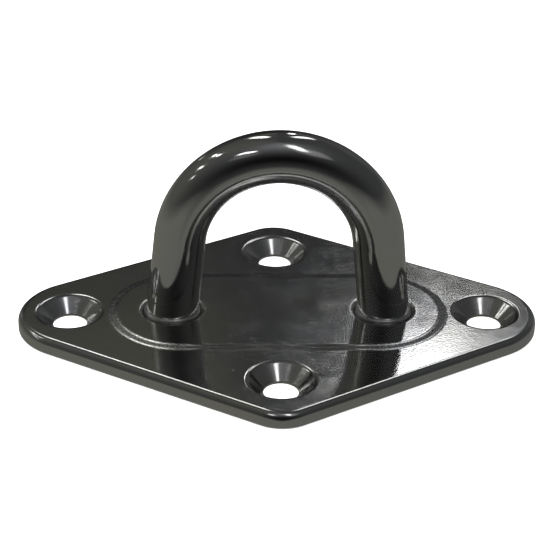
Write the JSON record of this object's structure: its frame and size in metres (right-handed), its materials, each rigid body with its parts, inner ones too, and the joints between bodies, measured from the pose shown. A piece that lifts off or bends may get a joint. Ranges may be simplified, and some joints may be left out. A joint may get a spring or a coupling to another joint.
{
  "type": "pad eye",
  "caption": "Diamond pad eye: a rounded rhombus plate with countersunk screw holes on its diagonals and a welded horseshoe bow of round bar to clip or lash to.",
  "frame": {"origin": "centre of the plate's underside, on the face that rests on the deck", "axes": "+X along the plate's long diagonal and the bow's width, +Y along its short diagonal, +Z out of the deck"},
  "size_m": [0.081, 0.058, 0.0333],
  "materials": {
    "plate_steel": "pressed stainless steel plate, mirror-polished on top with a fine orange peel and hairline scratches, turned marks in the countersinks, satin underneath",
    "bow_steel": "stainless steel round bar, bent and mirror-polished, with faint drawing lines along the bar",
    "polished_weld": "small stainless weld bead round each foot, polished with the rest of the fitting",
    "raw_weld": "rippled root weld in the underside pocket, pickled and left with a faint straw heat tint"
  },
  "bodies": {
    "root": {"base_plate": "plate_steel", "eye_bow": "bow_steel", "top_weld_left": "polished_weld", "top_weld_right": "polished_weld", "root_weld_left": "raw_weld", "root_weld_right": "raw_weld"}
  },
  "joints": []
}
